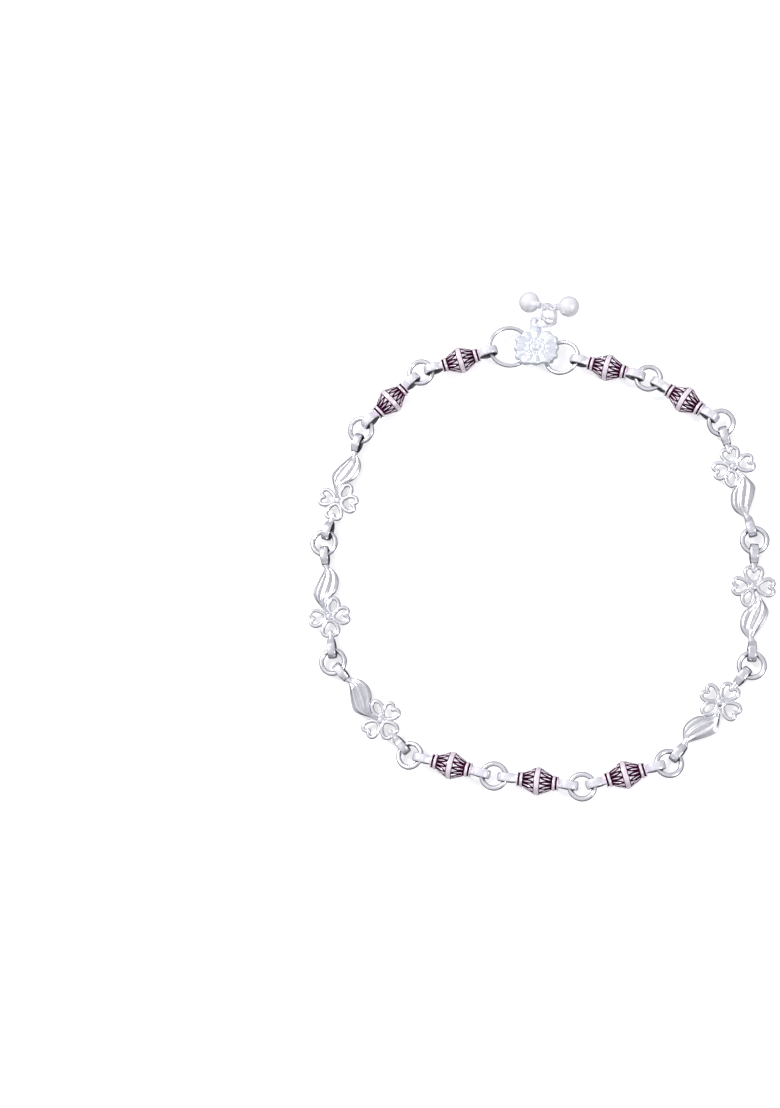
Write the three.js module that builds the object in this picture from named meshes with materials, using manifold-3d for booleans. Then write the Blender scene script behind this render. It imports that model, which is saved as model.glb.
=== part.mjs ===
// A payal: a silver anklet of enamelled beads and flower-and-leaf links joined by wire rings,
// closed by an ornament plate with a staple and a hook, with two ball drops on jump rings.
// Millimetres, +Z up. The anklet lies on the plane z = 0, with the middle of its box at x = y = 0.

import * as THREE from "three";
import { mergeVertices } from "three/addons/utils/BufferGeometryUtils.js";
import Module from "manifold-3d";

const wasm = await Module();
wasm.setup();

// Wire rings of the chain
const linkRingWire = 0.92;
const claspRingWire = 0.75;
const linkRingInnerRadius = 1.75;
const rightRingInnerRadius = 2.78;
const leftRingInnerRadius = 3.47;
const ringSides = 14;
const ringWireSides = 6;

// Band loops at the ends of each bead and each flower-and-leaf link
const bandWidth = 1.6;
const bandThickness = 0.65;
const loopPlay = 0.34; // free height above and below a link ring's wire in a loop
const wireGap = 0.28; // between a ring's wire and what it rests on
const linkSlack = 0.45; // free length between a ring's wire and the end wall of a loop
const loopDepth = 1.01; // free length behind a link ring's wire
const loopRootHeight = 1.5;
const loopRootDepth = 0.25; // how far a loop's root goes into the piece that it is soldered to

// Enamelled beads
const beadLength = 7.5;
const beadSides = 14;
const bandRadius = 2.62;
const beadBandWidth = 0.86;
const coneFootRadius = 2.4;
const coneTopRadius = 1.26;
const collarRadius = 1.46;
const collarWidth = 0.5;
const recessRadius = 1.23;
const recessWidth = 0.3;
const rimRadius = 1.38;
const rimWidth = 0.2;
const beadLoopReach = 3.64; // from the rim to the tip of a loop
const reliefHeight = 0.16;
const reliefMiddle = 0.5; // share of the cone's length at which its triangles end

// Flower-and-leaf links
const leafLinkLength = 21.9; // from tip to tip of its two loops
const petalWire = 0.72;
const petalLength = 3.95; // from the flower's middle to the top of a petal
const petalWidth = 3.75;
const petalStart = 0.75; // from the flower's middle to the foot of a petal
const flowerPlace = -2.9; // the flower's middle along the link
const flowerBossRadius = 0.85;
const flowerBossHeight = 0.9;
const ovalLength = 3.6;
const ovalWidth = 2.7;
const ovalPlace = { along: 0.57, across: -0.34 }; // from the flower's middle, shares of the two above
const ovalTurn = -12; // degrees
const leafLength = 8.55;
const leafWidth = 4.75;
const leafPlace = -1.9; // the leaf's upper end along the link
const leafThickness = 0.6;
const leafRidge = 0.5;
const linkStem = 1.1; // height and width of the bar from the flower or leaf to a loop

// Clasp plate with its staple and hook
const plateLength = 8.6;
const plateHeight = 7.0;
const plateThickness = 0.7;
const plateRelief = 0.4;
const plateScallops = 12;
const plateSquareness = 3; // exponent of the rounded outline, 2 is an ellipse
const plateOffset = { x: -0.14, y: 0.64 }; // from the middle between the two rings' wires
const plateTurn = 14; // degrees, from the line through the two clasp rings
const scallopDepth = 0.09; // share of the plate's reach
const staplePost = 0.5;
const stapleWidth = 2.0;
const stapleBase = 0.5;
const stapleHeadroom = 0.8; // free height over a ring's wire under the plate
const postGap = 0.375; // from a ring's wire to the staple's inner post or the hook's end
const hookTip = 0.45; // length of the hook's upturned end
const hookTipHeight = 0.5;
const hookMouth = 0.9; // between the staple's inner post and the hook's end

// Lug, jump rings and ball drops
const jumpWire = 0.5;
const upperRingRadius = 1.9; // to the middle of the wire, as the next
const lowerRingRadius = 2.0;
const lugHoleRadius = 0.7;
const lugRim = 0.45;
const lugThickness = 0.4;
const lugPlace = { x: -0.35, y: 5.85 };
const upperRingTilt = 45; // degrees, as the next two
const lowerRingTilt = 52;
const lowerRingTurn = 22; // from its near side to the point that the upper ring holds
const lowerRingPlace = 0.05; // of that point, right of the upper ring's middle, share of its radius
const ballRadius = 2.0;
const dropSides = 12;
const neckRadius = 0.5;
const dropEyeRadius = 0.8; // to the middle of its wire
const dropEyeWire = 0.44;
const neckLength = 0.55; // from the ball to the eye's wire

// The two drops: which side of the lower ring holds each, how far from its near side, and the way that
// the drop points on the ground.
const drops = [
  { name: "ball_drop_left", side: -1, lean: 126, heading: 154 },
  { name: "ball_drop_right", side: 1, lean: 150, heading: -6 },
];

// The way round: ring middles on the ground, clockwise from the right clasp ring, chosen by hand.
// The chain follows a closed curve through them, and its own pieces set the steps.
const route = [
  { x: 4.8, y: 39.6 },
  { x: 21.6, y: 34.6 },
  { x: 34.5, y: 25.9 },
  { x: 40.3, y: 3.0 },
  { x: 39.2, y: -20.3 },
  { x: 24.4, y: -37.8 },
  { x: 8.7, y: -42.1 },
  { x: -7.2, y: -40.3 },
  { x: -23.2, y: -36.3 },
  { x: -38.0, y: -18.7 },
  { x: -40.3, y: 4.5 },
  { x: -33.6, y: 26.4 },
  { x: -21.9, y: 37.4 },
  { x: -5.3, y: 42.1 },
];

// The units in the same order. roll turns a unit about its length, in degrees, outer side up.
const units = [
  { kind: "bead", roll: 0 },
  { kind: "bead", roll: 0 },
  { kind: "leaf", roll: 5 },
  { kind: "leaf", roll: -3 },
  { kind: "leaf", roll: 2 },
  { kind: "bead", roll: 0 },
  { kind: "bead", roll: 0 },
  { kind: "bead", roll: 0 },
  { kind: "leaf", roll: -3 },
  { kind: "leaf", roll: 3 },
  { kind: "leaf", roll: -2 },
  { kind: "bead", roll: 0 },
  { kind: "bead", roll: 0 },
];

// Half of a heart petal's outline, point to notch, as shares of its length and half its width.
const heartOutline = [
  { along: 0.0, across: 0.0 },
  { along: 0.1, across: 0.46 },
  { along: 0.4, across: 0.86 },
  { along: 0.72, across: 1.0 },
  { along: 0.94, across: 0.8 },
  { along: 1.0, across: 0.46 },
  { along: 0.9, across: 0.15 },
  { along: 0.76, across: 0.0 },
];

// Leaf sections: along as a share of the leaf's length, edges as shares of its width,
// and the height of its ridges as a share of the full ridge.
const leafSections = [
  { along: 0.0, inner: 0.04, outer: 0.16, ridge: 0.3 },
  { along: 0.147, inner: 0.09, outer: 0.33, ridge: 0.7 },
  { along: 0.276, inner: -0.02, outer: 0.485, ridge: 1.0 },
  { along: 0.427, inner: -0.33, outer: 0.583, ridge: 1.0 },
  { along: 0.578, inner: -0.45, outer: 0.49, ridge: 1.0 },
  { along: 0.73, inner: -0.475, outer: 0.33, ridge: 1.0 },
  { along: 0.88, inner: -0.375, outer: 0.15, ridge: 0.8 },
  { along: 1.0, inner: -0.17, outer: 0.02, ridge: 0.4 },
];

// Leaf cross-section from its inner to its outer edge: ridges stand up between deep grooves.
const leafCross = [
  { across: 0.0, rise: 0.0 },
  { across: 0.13, rise: 0.9 },
  { across: 0.3, rise: 0.1 },
  { across: 0.47, rise: 1.0 },
  { across: 0.64, rise: 0.1 },
  { across: 0.83, rise: 0.9 },
  { across: 1.0, rise: 0.0 },
];

const degree = Math.PI / 180;
const up = new THREE.Vector3(0, 0, 1);
const loopHoleHeight = linkRingWire + 2 * loopPlay;
const loopHoleLength = linkSlack + linkRingWire + loopDepth;
const loopHalfHeight = loopHoleHeight / 2 + bandThickness;
// Between the middles of the two clasp rings' wires, under the plate.
const wireSpan = claspRingWire + 2 * postGap + staplePost + hookMouth + hookTip;

const silver = { color: 0xe8e4ec, roughness: 0.22, metalness: 1 };
const enamelled = { color: 0xc4a3b6, roughness: 0.3, metalness: 0.8 };

// A closed solid through cross-sections along +X, with a flat cap at each end. A section's points run
// from +Y towards +Z, and its neighbour may have as many points or twice as many.
function loft(sections) {
  const points = sections.flat();
  const index = [];
  let first = 0;
  for (let s = 0; s < sections.length - 1; s += 1) {
    const [here, next] = [sections[s].length, sections[s + 1].length];
    const steps = Math.max(here, next);
    for (let k = 0; k < steps; k += 1) {
      const [a0, a1] = [k, k + 1].map((i) => first + (Math.floor((i * here) / steps) % here));
      const [b0, b1] = [k, k + 1].map((i) => first + here + (Math.floor((i * next) / steps) % next));
      if (a0 !== a1) index.push(a0, a1, b0);
      if (b0 !== b1) index.push(a1, b1, b0);
    }
    first += here;
  }
  const caps = [
    { start: 0, section: sections[0], facing: -1 },
    { start: first, section: sections.at(-1), facing: 1 },
  ];
  for (const { start, section, facing } of caps) {
    const middle = points.length;
    points.push(section.reduce((sum, p) => sum.add(p), new THREE.Vector3()).divideScalar(section.length));
    for (let k = 0; k < section.length; k += 1) {
      const a = start + k;
      const b = start + ((k + 1) % section.length);
      index.push(middle, facing > 0 ? a : b, facing > 0 ? b : a);
    }
  }
  const geometry = new THREE.BufferGeometry().setFromPoints(points);
  geometry.setIndex(index);
  return geometry;
}

function toSolid(geometry) {
  const bare = geometry.clone();
  bare.deleteAttribute("normal");
  bare.deleteAttribute("uv");
  const merged = mergeVertices(bare, 1e-4);
  return new wasm.Manifold(
    new wasm.Mesh({
      numProp: 3,
      vertProperties: new Float32Array(merged.attributes.position.array),
      triVerts: new Uint32Array(merged.index.array),
    }),
  );
}

// One soldered piece from several geometries.
function fuse(geometries) {
  const { vertProperties, triVerts } = geometries
    .map(toSolid)
    .reduce((whole, next) => whole.add(next))
    .getMesh();
  const geometry = new THREE.BufferGeometry();
  geometry.setAttribute("position", new THREE.BufferAttribute(vertProperties, 3));
  geometry.setIndex(new THREE.BufferAttribute(triVerts, 1));
  const faceted = geometry.toNonIndexed();
  faceted.computeVertexNormals();
  return faceted;
}

function box(x0, x1, y0, y1, z0, z1) {
  return new THREE.BoxGeometry(x1 - x0, y1 - y0, z1 - z0).translate(
    (x0 + x1) / 2,
    (y0 + y1) / 2,
    (z0 + z1) / 2,
  );
}

function wireRing(radius, wire, sides) {
  return new THREE.TorusGeometry(radius, wire / 2, ringWireSides, sides);
}

// A band folded into an upright loop on the X axis. It reaches from root to tip, and its hole is as
// long and as high as a ring's wire needs. end is 1 at the +X end of a piece and -1 at the other.
function bandLoop(root, tip, end) {
  const halfHole = loopHoleHeight / 2;
  const far = tip - bandThickness - halfHole;
  const near = tip - bandThickness - loopHoleLength;
  const arc = [-90, -45, 0, 45, 90];
  const around = (x, radius) =>
    arc.map((a) => new THREE.Vector2(x + radius * Math.cos(a * degree), radius * Math.sin(a * degree)));
  const shoulder = near + halfHole;
  const outline = new THREE.Shape([
    new THREE.Vector2(root, -loopRootHeight / 2),
    new THREE.Vector2(Math.min(shoulder, far), -loopHalfHeight),
    ...around(far, loopHalfHeight),
    new THREE.Vector2(Math.min(shoulder, far), loopHalfHeight),
    new THREE.Vector2(root, loopRootHeight / 2),
  ]);
  outline.holes.push(
    new THREE.Path([
      new THREE.Vector2(near, -halfHole / 2),
      new THREE.Vector2(near + halfHole / 2, -halfHole),
      ...around(far, halfHole),
      new THREE.Vector2(near + halfHole / 2, halfHole),
      new THREE.Vector2(near, halfHole / 2),
    ]),
  );
  const loop = new THREE.ExtrudeGeometry(outline, { depth: bandWidth, bevelEnabled: false });
  loop.translate(0, 0, -bandWidth / 2).rotateX(Math.PI / 2);
  return end > 0 ? loop : loop.rotateZ(Math.PI);
}

// A round section on the X axis with flat sides, one of them underneath.
function roundSection(x, radius) {
  return Array.from({ length: beadSides }, (_, k) => {
    const angle = ((2 * k - 1) * Math.PI) / beadSides - Math.PI / 2;
    return new THREE.Vector3(x, radius * Math.cos(angle), radius * Math.sin(angle));
  });
}

// The same with a point at the middle of each side too. rise lifts the middles, and ridge the corners.
function pleatedSection(x, radius, rise, ridge) {
  return Array.from({ length: 2 * beadSides }, (_, k) => {
    const angle = ((k - 1) * Math.PI) / beadSides - Math.PI / 2;
    const reach = k % 2 ? radius * Math.cos(Math.PI / beadSides) + rise : radius + ridge;
    return new THREE.Vector3(x, reach * Math.cos(angle), reach * Math.sin(angle));
  });
}

// Each cone is pleated: triangles stand up on the band, one for each side, with their points
// outwards, and slim leaves stand up between the points.
function beadGeometry() {
  const half = beadLength / 2;
  const rimInner = half - rimWidth;
  const collarOuter = rimInner - recessWidth;
  const collarInner = collarOuter - collarWidth;
  const foot = beadBandWidth / 2;
  const middle = foot + (collarInner - foot) * reliefMiddle;
  const middleRadius = coneFootRadius + (coneTopRadius - coneFootRadius) * reliefMiddle;
  const side = [
    roundSection(foot, bandRadius),
    pleatedSection(foot, coneFootRadius, reliefHeight, 0),
    pleatedSection(middle, middleRadius, 0, reliefHeight),
    roundSection(collarInner, coneTopRadius),
    roundSection(collarInner, collarRadius),
    roundSection(collarOuter, collarRadius),
    roundSection(collarOuter + recessWidth / 2, recessRadius),
    roundSection(rimInner, rimRadius),
    roundSection(half, rimRadius),
  ];
  const otherSide = side.map((section) => section.map(({ x, y, z }) => new THREE.Vector3(-x, y, z)));
  const pieces = [loft([...otherSide.reverse(), ...side])];
  for (const end of [-1, 1]) pieces.push(bandLoop(half - loopRootDepth, half + beadLoopReach, end));
  return fuse(pieces);
}

// One pierced petal: a wire bent into a heart, its point at the flower's middle.
function heartPetal(heading) {
  const length = petalLength - petalStart - petalWire / 2;
  const half = (petalWidth - petalWire) / 2;
  const edge = heartOutline.map(({ along, across }) => [petalStart + length * along, half * across]);
  const back = edge.slice(1, -1).reverse().map(([x, y]) => [x, -y]);
  const path = new THREE.CatmullRomCurve3(
    [...edge, ...back].map(([x, y]) => new THREE.Vector3(x, y, 0)),
    true,
  );
  return new THREE.TubeGeometry(path, 11, petalWire / 2, 5, true)
    .rotateZ(heading * degree)
    .translate(flowerPlace, 0, 0);
}

// A low round boss over the points of the petals.
function flowerBoss() {
  return new THREE.CylinderGeometry(flowerBossRadius * 0.6, flowerBossRadius, flowerBossHeight, 8)
    .rotateX(Math.PI / 2)
    .translate(flowerPlace, 0, (flowerBossHeight - petalWire) / 2);
}

// The small plain petal beside the leaf: an oval of the same wire.
function ovalPetal() {
  const path = new THREE.CatmullRomCurve3(
    Array.from({ length: 8 }, (_, k) => {
      const angle = (k * Math.PI) / 4;
      return new THREE.Vector3(
        (Math.cos(angle) * (ovalLength - petalWire)) / 2,
        (Math.sin(angle) * (ovalWidth - petalWire)) / 2,
        0,
      );
    }),
    true,
  );
  return new THREE.TubeGeometry(path, 8, petalWire / 2, 5, true)
    .rotateZ(ovalTurn * degree)
    .translate(flowerPlace + ovalLength * ovalPlace.along, ovalWidth * ovalPlace.across, 0);
}

// The ridged leaf: cross-sections with grooves, swept along an S between its two edges.
function leafGeometry() {
  const sections = leafSections.map(({ along, inner, outer, ridge }) => {
    const x = leafPlace + leafLength * along;
    const [y0, y1] = [inner * leafWidth, outer * leafWidth];
    const top = leafCross.map(({ across, rise }) => {
      const z = leafThickness / 2 + leafRidge * rise * ridge - leafRidge / 3;
      return new THREE.Vector3(x, y1 + (y0 - y1) * across, z);
    });
    const bottom = [
      new THREE.Vector3(x, y0, -leafThickness / 2),
      new THREE.Vector3(x, y1, -leafThickness / 2),
    ];
    return [...top, ...bottom];
  });
  return loft(sections);
}

function leafLinkGeometry() {
  const tip = leafLinkLength / 2;
  const stem = linkStem / 2;
  const loopRoot = tip - 2 * bandThickness - loopHoleLength;
  const notch = flowerPlace - petalStart - heartOutline.at(-1).along * (petalLength - petalStart);
  const leafEnd = leafPlace + leafLength;
  const pieces = [
    heartPetal(90),
    heartPetal(180),
    heartPetal(270),
    ovalPetal(),
    leafGeometry(),
    flowerBoss(),
    box(-loopRoot - loopRootDepth, notch, -stem, stem, -petalWire / 2, petalWire / 2),
    box(leafEnd - leafLength * 0.08, loopRoot + loopRootDepth, -stem, stem / 2, -petalWire / 2, petalWire / 2),
    bandLoop(loopRoot, tip, -1),
    bandLoop(loopRoot, tip, 1),
  ];
  return fuse(pieces);
}

// Height of a unit's own axis when it rests on the ground at its roll.
function restHeight({ kind, roll }) {
  if (kind === "bead") return bandRadius * Math.cos(Math.PI / beadSides);
  const lean = Math.abs(roll) * degree;
  const loop = loopHalfHeight * Math.cos(lean) + (bandWidth / 2) * Math.sin(lean);
  const petal = (petalLength - petalWire / 2) * Math.sin(lean) + petalWire / 2;
  return Math.max(loop, petal);
}

// The stamped plate: a scalloped rosette. Rows run from its rim to its middle, and each row's height
// follows the petals.
function plateGeometry(bottom) {
  const columns = 2 * plateScallops;
  const rows = [
    { reach: 1.0, rise: 0.0, petal: 0.0 },
    { reach: 0.9, rise: 0.3, petal: 0.5 },
    { reach: 0.6, rise: 0.2, petal: 0.8 },
    { reach: 0.34, rise: 0.1, petal: 0.3 },
    { reach: 0.26, rise: 1.0, petal: 0.0 },
    { reach: 0.12, rise: 0.9, petal: 0.0 },
  ];
  const ringAt = (reach, heightAt) =>
    Array.from({ length: columns }, (_, k) => {
      const angle = (2 * Math.PI * k) / columns;
      const [c, s] = [Math.cos(angle), Math.sin(angle)];
      const square = (Math.abs(c) ** plateSquareness + Math.abs(s) ** plateSquareness) ** (-1 / plateSquareness);
      const scallop = reach * (1 - (k % 2) * scallopDepth * reach) * (1 + (square - 1) * reach);
      const x = (plateLength / 2) * scallop * c;
      const y = (plateHeight / 2) * scallop * s;
      return new THREE.Vector3(heightAt(k), x, y);
    });
  const sections = [
    ringAt(1, () => bottom),
    ...rows.map(({ reach, rise, petal }) =>
      ringAt(reach, (k) => bottom + plateThickness + plateRelief * (rise + petal * (1 - (k % 2)))),
    ),
  ];
  // The sections run along +X here, so X, Y, Z become Z, X, Y.
  const turn = new THREE.Matrix4().makeBasis(
    new THREE.Vector3(0, 0, 1),
    new THREE.Vector3(1, 0, 0),
    new THREE.Vector3(0, 1, 0),
  );
  return loft(sections).applyMatrix4(turn);
}

// Height of a ring's wire in the staple and in the hook, and of the plate's underside.
const claspWireHeight = stapleBase + wireGap + claspRingWire / 2;
const plateBottom = claspWireHeight + claspRingWire / 2 + stapleHeadroom;
const lugMiddleHeight = plateBottom + lugThickness / 2;

function claspGeometry() {
  const wire = wireSpan / 2;
  const wall = wire + claspRingWire / 2 + linkSlack;
  const outer = wall + bandThickness;
  const half = stapleWidth / 2;
  const roof = plateBottom + plateThickness / 2;
  const hookEnd = wire - claspRingWire / 2 - postGap;
  const postInner = -hookEnd;
  const staples = [
    box(-outer, -wall, -half, half, 0, roof),
    box(-outer, postInner + staplePost, -half, half, 0, stapleBase),
    box(postInner, postInner + staplePost, -half, half, 0, roof),
    box(wall, outer, -half, half, 0, roof),
    box(hookEnd - hookTip, outer, -half, half, 0, stapleBase),
    box(hookEnd - hookTip, hookEnd, -half, half, 0, stapleBase + hookTipHeight),
  ].map((piece) => piece.rotateZ(-plateTurn * degree));
  const lugOuter = lugHoleRadius + lugRim;
  const lug = new THREE.Shape();
  lug.moveTo(lugPlace.x - lugOuter, plateOffset.y + plateHeight * 0.3);
  lug.lineTo(lugPlace.x + lugOuter, plateOffset.y + plateHeight * 0.3);
  lug.lineTo(lugPlace.x + lugOuter, lugPlace.y);
  lug.absarc(lugPlace.x, lugPlace.y, lugOuter, 0, Math.PI, false);
  lug.holes.push(new THREE.Path().absarc(lugPlace.x, lugPlace.y, lugHoleRadius, 0, 2 * Math.PI, true));
  const lugPlate = new THREE.ExtrudeGeometry(lug, {
    depth: lugThickness,
    bevelEnabled: false,
    curveSegments: 5,
  }).translate(0, 0, plateBottom);
  const plate = plateGeometry(plateBottom).translate(plateOffset.x, plateOffset.y, 0);
  return fuse([plate, lugPlate, ...staples]);
}

// A pear-shaped ball on +Z with a wire eye on top. Its origin is the ball's middle.
const eyeHeight = ballRadius + neckLength + dropEyeRadius;

function dropGeometry() {
  const profile = [
    { angle: -90 },
    { angle: -62 },
    { angle: -36 },
    { angle: -12 },
    { angle: 12 },
    { angle: 34 },
    { angle: 54 },
  ].map(({ angle }) => {
    const a = angle * degree;
    return new THREE.Vector2(angle === -90 ? 0 : ballRadius * Math.cos(a), ballRadius * Math.sin(a));
  });
  const neckTop = ballRadius + neckLength;
  profile.push(new THREE.Vector2(neckRadius * 1.3, ballRadius + neckLength * 0.1));
  profile.push(new THREE.Vector2(neckRadius, neckTop));
  profile.push(new THREE.Vector2(0, neckTop));
  const pear = new THREE.LatheGeometry(profile, dropSides).rotateX(Math.PI / 2);
  const eye = new THREE.TorusGeometry(dropEyeRadius, dropEyeWire / 2, ringWireSides, 10)
    .rotateX(Math.PI / 2)
    .translate(0, 0, eyeHeight);
  return fuse([pear, eye]);
}

// The share of the closed curve at which the straight distance from share reaches chord.
function shareAfter(curve, share, chord) {
  const start = curve.getPoint(share % 1);
  let [low, high] = [share, share + 0.4];
  for (let i = 0; i < 40; i += 1) {
    const middle = (low + high) / 2;
    if (curve.getPoint(middle % 1).distanceTo(start) < chord) low = middle;
    else high = middle;
  }
  return (low + high) / 2;
}

// Ring middles on the route. The route grows or shrinks until the chain's chords close on it.
function closeChain(chords) {
  let [small, large] = [0.1, 10];
  let places = [];
  for (let i = 0; i < 50; i += 1) {
    const scale = Math.sqrt(small * large);
    const points = route.map(({ x, y }) => new THREE.Vector3(x, y, 0).multiplyScalar(scale));
    const curve = new THREE.CatmullRomCurve3(points, true, "catmullrom", 0.5);
    let share = 0;
    places = chords.map((chord) => {
      const place = curve.getPoint(share % 1);
      share = shareAfter(curve, share, chord);
      return place;
    });
    if (share > 1) small = scale;
    else large = scale;
  }
  return places;
}

const rings = units.map((_, i) => ({
  name: "link_ring_" + String(i).padStart(2, "0"),
  innerRadius: linkRingInnerRadius,
  wire: linkRingWire,
}));
rings[0] = { name: "clasp_ring_right", innerRadius: rightRingInnerRadius, wire: claspRingWire };
rings.push({ name: "clasp_ring_left", innerRadius: leftRingInnerRadius, wire: claspRingWire });
for (const ring of rings) ring.radius = ring.innerRadius + ring.wire / 2;

const unitLength = { bead: beadLength + 2 * beadLoopReach, leaf: leafLinkLength };
// From a ring's middle to the tip of a loop that it holds.
const tipReach = (ring) => ring.innerRadius - linkSlack - bandThickness;
const chords = units.map(
  ({ kind }, i) => tipReach(rings[i]) + unitLength[kind] + tipReach(rings[i + 1]),
);
chords.push(rings.at(-1).radius + wireSpan + rings[0].radius);
const places = closeChain(chords);

const anklet = new THREE.Group();
const chain = new THREE.Group();
anklet.add(chain);

function addPiece(parent, name, geometry, look) {
  const mesh = new THREE.Mesh(geometry, new THREE.MeshStandardMaterial(look));
  mesh.name = name;
  parent.add(mesh);
  return mesh;
}

const counts = { bead: 0, leaf: 0 };
const stems = { bead: "bead_", leaf: "flower_leaf_" };
const looks = { bead: enamelled, leaf: silver };
const geometries = { bead: beadGeometry(), leaf: leafLinkGeometry() };

units.forEach((unit, i) => {
  const way = places[i + 1].clone().sub(places[i]).normalize();
  const start = places[i].clone().addScaledVector(way, tipReach(rings[i]));
  const end = places[i + 1].clone().addScaledVector(way, -tipReach(rings[i + 1]));
  counts[unit.kind] += 1;
  const name = stems[unit.kind] + String(counts[unit.kind]).padStart(2, "0");
  const mesh = addPiece(chain, name, geometries[unit.kind].clone(), looks[unit.kind]);
  mesh.position.copy(start.add(end).multiplyScalar(0.5)).setZ(restHeight(unit));
  mesh.rotation.set(unit.roll * degree, 0, Math.atan2(way.y, way.x), "ZXY");
});

// Each ring lies through the two points where it is held, leaning as its two neighbours roll.
// toward gives the way to a point on the ground, height its height, roll its unit's roll.
function layRing(mesh, middle, radius, [first, second]) {
  const lift = (first.height - second.height) / 2;
  const slope = first.toward
    .clone()
    .sub(second.toward)
    .multiplyScalar(lift / radius / (1 - first.toward.dot(second.toward)));
  const outward = up.clone().cross(second.toward.clone().sub(first.toward)).normalize();
  const lean = Math.tan(((first.roll + second.roll) / 2) * degree);
  slope.addScaledVector(outward, lean);
  const height = (first.height + second.height) / 2 - lean * radius * outward.dot(first.toward);
  mesh.position.copy(middle).setZ(height);
  mesh.quaternion.setFromUnitVectors(up, new THREE.Vector3(-slope.x, -slope.y, 1).normalize());
}

// A wire rests a little above the floor of a loop's hole, and higher in a loop that is rolled.
function heldHeight(unit, wire) {
  const turned = (bandWidth / 2) * Math.tan((Math.abs(unit.roll) / 2) * degree);
  return restHeight(unit) - Math.max((loopHoleHeight - wire) / 2 - wireGap - turned, 0);
}

const claspHold = { height: claspWireHeight, roll: 0 };
rings.forEach((ring, i) => {
  const hold = (unit) => (unit ? { height: heldHeight(unit, ring.wire), roll: unit.roll } : claspHold);
  const toward = (j) => places[(j + places.length) % places.length].clone().sub(places[i]).normalize();
  const sides = i > 0 && i < units.length ? ringSides : ringSides + 2;
  const mesh = addPiece(chain, ring.name, wireRing(ring.radius, ring.wire, sides), silver);
  layRing(mesh, places[i], ring.radius, [
    { toward: toward(i - 1), ...hold(units[i - 1]) },
    { toward: toward(i + 1), ...hold(units[i]) },
  ]);
});

// The clasp stands between the wires of the two clasp rings, and the charm hangs from its lug.
const claspWay = places[0].clone().sub(places.at(-1)).normalize();
const clasp = new THREE.Group();
clasp.position
  .copy(places.at(-1))
  .addScaledVector(claspWay, rings.at(-1).radius + wireSpan / 2);
clasp.rotation.z = Math.atan2(claspWay.y, claspWay.x) + plateTurn * degree;
chain.add(clasp);
addPiece(clasp, "clasp_plate", claspGeometry(), silver);

// The upper ring goes through the lug at its left side, and its far side leans down.
const upperMiddle = new THREE.Vector3(lugPlace.x + upperRingRadius, lugPlace.y, lugMiddleHeight);
const upperRing = addPiece(clasp, "charm_ring_upper", wireRing(upperRingRadius, jumpWire, 12), silver);
upperRing.position.copy(upperMiddle);
upperRing.rotation.x = -upperRingTilt * degree;

// The lower ring goes through the upper one near its own near side, and its left side leans up.
const lowerRight = new THREE.Vector3(Math.cos(lowerRingTilt * degree), 0, -Math.sin(lowerRingTilt * degree));
const lowerMiddle = upperMiddle
  .clone()
  .add(new THREE.Vector3(upperRingRadius * lowerRingPlace, 0, 0))
  .add(new THREE.Vector3(0, Math.cos(lowerRingTurn * degree) * lowerRingRadius, 0))
  .addScaledVector(lowerRight, Math.sin(lowerRingTurn * degree) * lowerRingRadius);
const lowerRing = addPiece(clasp, "charm_ring_lower", wireRing(lowerRingRadius, jumpWire, 12), silver);
lowerRing.position.copy(lowerMiddle);
lowerRing.rotation.y = lowerRingTilt * degree;

// Each drop's eye holds the lower ring's wire, and its ball rests on the ground.
for (const { name, side, lean, heading } of drops) {
  const [c, s] = [Math.cos(lean * degree), Math.sin(lean * degree)];
  const eye = lowerMiddle
    .clone()
    .add(new THREE.Vector3(0, -c * lowerRingRadius, 0))
    .addScaledVector(lowerRight, side * s * lowerRingRadius);
  const wireWay = new THREE.Vector3(0, side * s, 0).addScaledVector(lowerRight, c);
  const rise = (eye.z - ballRadius) / eyeHeight;
  const level = Math.sqrt(1 - rise * rise);
  const axis = new THREE.Vector3(
    -level * Math.cos(heading * degree),
    -level * Math.sin(heading * degree),
    rise,
  );
  const across = wireWay.clone().addScaledVector(axis, -wireWay.dot(axis)).normalize();
  const third = new THREE.Vector3().crossVectors(across, axis);
  const drop = addPiece(clasp, name, dropGeometry(), silver);
  drop.quaternion.setFromRotationMatrix(new THREE.Matrix4().makeBasis(third, across, axis));
  drop.position.copy(eye).addScaledVector(axis, -eyeHeight);
}

// The middle of the anklet's box goes to x = y = 0, and its lowest point to z = 0.
anklet.updateMatrixWorld(true);
const bounds = new THREE.Box3().setFromObject(anklet, true);
const middle = bounds.getCenter(new THREE.Vector3());
chain.position.set(-middle.x, -middle.y, -bounds.min.z);

export default anklet;
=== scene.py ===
import bmesh
import bpy
import numpy as np
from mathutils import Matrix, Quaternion, Vector


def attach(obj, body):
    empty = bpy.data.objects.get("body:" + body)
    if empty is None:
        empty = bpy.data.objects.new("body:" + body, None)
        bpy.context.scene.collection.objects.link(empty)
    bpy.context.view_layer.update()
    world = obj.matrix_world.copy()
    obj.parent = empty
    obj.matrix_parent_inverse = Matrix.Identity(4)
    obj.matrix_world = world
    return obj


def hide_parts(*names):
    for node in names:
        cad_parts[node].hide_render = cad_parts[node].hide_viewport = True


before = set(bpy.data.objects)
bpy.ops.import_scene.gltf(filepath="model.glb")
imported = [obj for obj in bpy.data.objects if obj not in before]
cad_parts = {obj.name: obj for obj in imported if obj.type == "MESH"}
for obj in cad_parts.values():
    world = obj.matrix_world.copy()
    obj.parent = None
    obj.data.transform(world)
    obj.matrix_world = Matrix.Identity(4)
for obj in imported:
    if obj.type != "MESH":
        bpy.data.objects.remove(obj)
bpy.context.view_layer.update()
print("frame loaded:", len(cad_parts), "nodes")

# All shapes below are worked out in millimetres and go into their meshes in metres.
mm = 0.001
up = np.array([0.0, 0.0, 1.0])
sideways = np.array([0.0, 1.0, 0.0])  # across a unit that lies along x

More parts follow.
